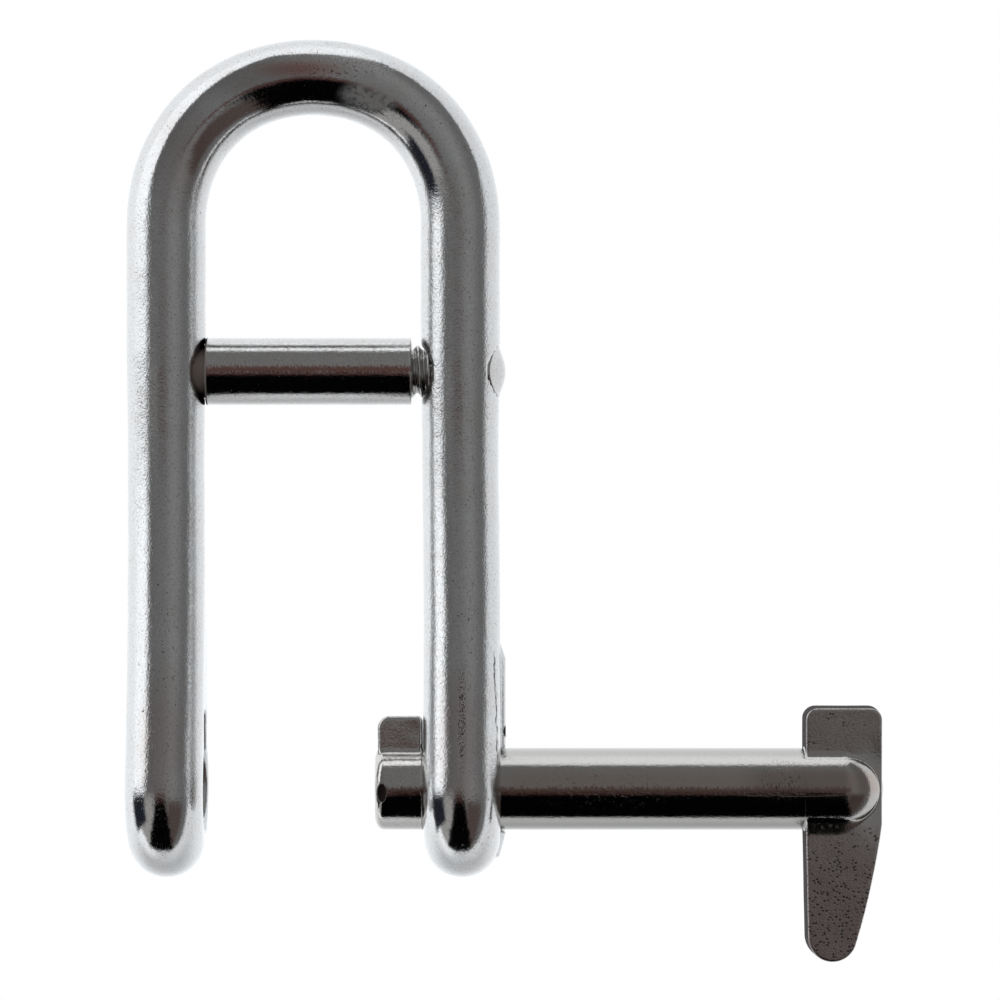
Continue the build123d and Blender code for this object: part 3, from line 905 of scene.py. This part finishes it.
def surroundings():
    """A soft studio all round, by direction in degrees: white at the sides and above, darker
    low behind, a grey wall in front with a dark shape and dark edges in it, and a tall
    softbox at the left. The camera itself sees plain white."""
    world = bpy.data.worlds.new("studio")
    bpy.context.scene.world = world
    world.use_nodes = True
    tree = world.node_tree
    tree.nodes.clear()
    direction = add(tree, "ShaderNodeTexCoord", {}).outputs["Generated"]
    x, y, z = parts(tree, direction)
    forward = calc(tree, "MULTIPLY", y, -1.0)
    turn = calc(tree, "MULTIPLY", calc(tree, "ARCTAN2", x, forward), DEGREES)
    lift = calc(tree, "MULTIPLY", calc(tree, "ARCSINE", z), DEGREES)
    pitch = calc(tree, "MULTIPLY", calc(tree, "ARCTAN2", z, forward), DEGREES)
    sides = [(-160, 1.25), (-100, 1.4), (60, 0.8), (100, 1.08), (140, 1.2)]
    colour = ramp(tree, turn, sides, COOL)
    colour = mix(tree, ease(tree, lift, -60, -82), colour, grey(0.95, COOL))
    colour = mix(tree, ease(tree, lift, 60, 85), colour, grey(1.5, COOL))
    low_behind = both(tree, ease(tree, y, 0.0, 0.4), ease(tree, lift, -15, -60))
    colour = mix(tree, low_behind, colour, grey(0.72, COOL))
    wall = ramp(tree, turn, [(-50, 0.172), (-10, 0.215), (28, 0.3), (60, 0.2)], 0.0)
    front = both(tree, window(tree, turn, -54, 80, 2), window(tree, lift, -80, 73, 2))
    colour = mix(tree, front, colour, wall)
    softbox = both(tree, window(tree, turn, -97, -55, 2), window(tree, lift, -5, 70, 2))
    colour = mix(tree, softbox, colour, grey(1.65, COOL))
    table = both(tree, window(tree, turn, -80, -12, 4), window(tree, lift, -66, -26, 3))
    beside = both(tree, window(tree, turn, -54, -25, 4), window(tree, lift, -40, -6, 4))
    colour = mix(tree, calc(tree, "MAXIMUM", table, beside), colour, grey(0.45, 0.02))
    near_edge = both(tree, window(tree, turn, -98, -54, 4), window(tree, lift, -34, -3, 2))
    far_edge = both(tree, window(tree, turn, -25, -9, 3), window(tree, lift, -23, -12, 2))
    colour = mix(tree, calc(tree, "MAXIMUM", near_edge, far_edge), colour, EDGE_BLUE)
    board = both(tree, window(tree, turn, 15, 62, 6), window(tree, lift, -78, -12, 5))
    colour = mix(tree, board, colour, BOARD_BROWN)
    spread = ease(tree, z, -0.2, -0.95, 0.22, 0.46)
    wobble = ease(tree, noise(tree, direction, 5.0), 0.3, 0.7, -0.06, 0.06)
    across = calc(tree, "ABSOLUTE", calc(tree, "ADD", x, calc(tree, "ADD", wobble, 0.1)))
    inside = ease(tree, calc(tree, "SUBTRACT", across, spread), -0.03, 0.03, 1.0, 0.0)
    strip = both(tree, inside, window(tree, pitch, -16, -3, 3))
    colour = mix(tree, strip, colour, STRIP_RED)
    dark = both(tree, inside, window(tree, pitch, -86, -12, 2))
    colour = mix(tree, dark, colour, grey(0.001))
    seen = add(tree, "ShaderNodeLightPath", {}).outputs["Is Camera Ray"]
    colour = mix(tree, seen, colour, grey(1.0))
    shader = add(tree, "ShaderNodeBackground", {"Color": colour, "Strength": 1.0})
    add(tree, "ShaderNodeOutputWorld", {"Surface": shader.outputs[0]})


def floor():
    """A plain pale floor, well below the hanging shackle."""
    mesh = bpy.data.meshes.new("floor")
    rim = []
    for t in np.linspace(0, 2 * math.pi, FLOOR_SIDES, endpoint=False):
        rim.append((FLOOR_RADIUS_M * math.cos(t), FLOOR_RADIUS_M * math.sin(t), -FLOOR_DROP_M))
    mesh.from_pydata(rim, [], [list(range(FLOOR_SIDES))])
    material = bpy.data.materials.new("floor_paint")
    material.use_nodes = True
    shader = material.node_tree.nodes["Principled BSDF"]
    shader.inputs["Base Color"].default_value = grey(0.85)
    shader.inputs["Roughness"].default_value = 0.8
    mesh.materials.append(material)
    thing = bpy.data.objects.new("floor", mesh)
    bpy.context.scene.collection.objects.link(thing)


def camera():
    """A long lens square to the bow, in front of the middle of the photo's frame."""
    lens = bpy.data.cameras.new("camera")
    lens.lens = CAMERA_LENS
    lens.sensor_width = CAMERA_SENSOR
    lens.clip_start = 0.01
    thing = bpy.data.objects.new("camera", lens)
    thing.location = (CAMERA_X * MM, CAMERA_Y * MM, (CAMERA_HEIGHT + PIN_AXIS[2]) * MM)
    thing.rotation_euler = (math.pi / 2, 0, 0)
    bpy.context.scene.collection.objects.link(thing)
    bpy.context.scene.camera = thing


# ---------------------------------------------------------------- everything

# Grid steps of the meshes, in millimetres.
BOW_STEP = 0.2
TIP_STEP = 0.08
HANDLE_STEP = 0.085
STUD_STEP = 0.08

bow_steel = metal("bow_steel", bow_look)
bar_steel = metal("bar_steel", bar_look)
pin_steel = metal("pin_steel", pin_look)
cast_steel = metal("cast_steel", cast_look)

bow_mesh = skin(bow, BOW_LOW, BOW_HIGH, BOW_STEP)
piece("bow", *bow_mesh, "shackle", "bow_steel", bow_steel, "bow_body")
stud_mesh = skin(stud, STUD_LOW, STUD_HIGH, STUD_STEP)
piece("stud", *stud_mesh, "shackle", "bar_steel", bar_steel, "stop_bar_stud")
piece("spacer", *spacer_mesh(), "spacer", "bar_steel", bar_steel, "stop_bar_spacer")
piece("pin", *shank_mesh(), "pin", "pin_steel", pin_steel, "key_pin_shank")
tip_mesh = skin(key_tip, TIP_LOW, TIP_HIGH, TIP_STEP)
piece("pin_tip", *tip_mesh, "lever", "pin_steel", pin_steel, "key_pin_tip")
handle_low = HANDLE_LOW - (HANDLE_STUB, 0, 0)
handle_mesh = skin(handle, handle_low, HANDLE_HIGH, HANDLE_STEP)
piece("pin_handle", *handle_mesh, "lever", "cast_steel", cast_steel, "key_pin_handle")

surroundings()
floor()
camera()
bpy.context.scene.view_settings.view_transform = "Standard"
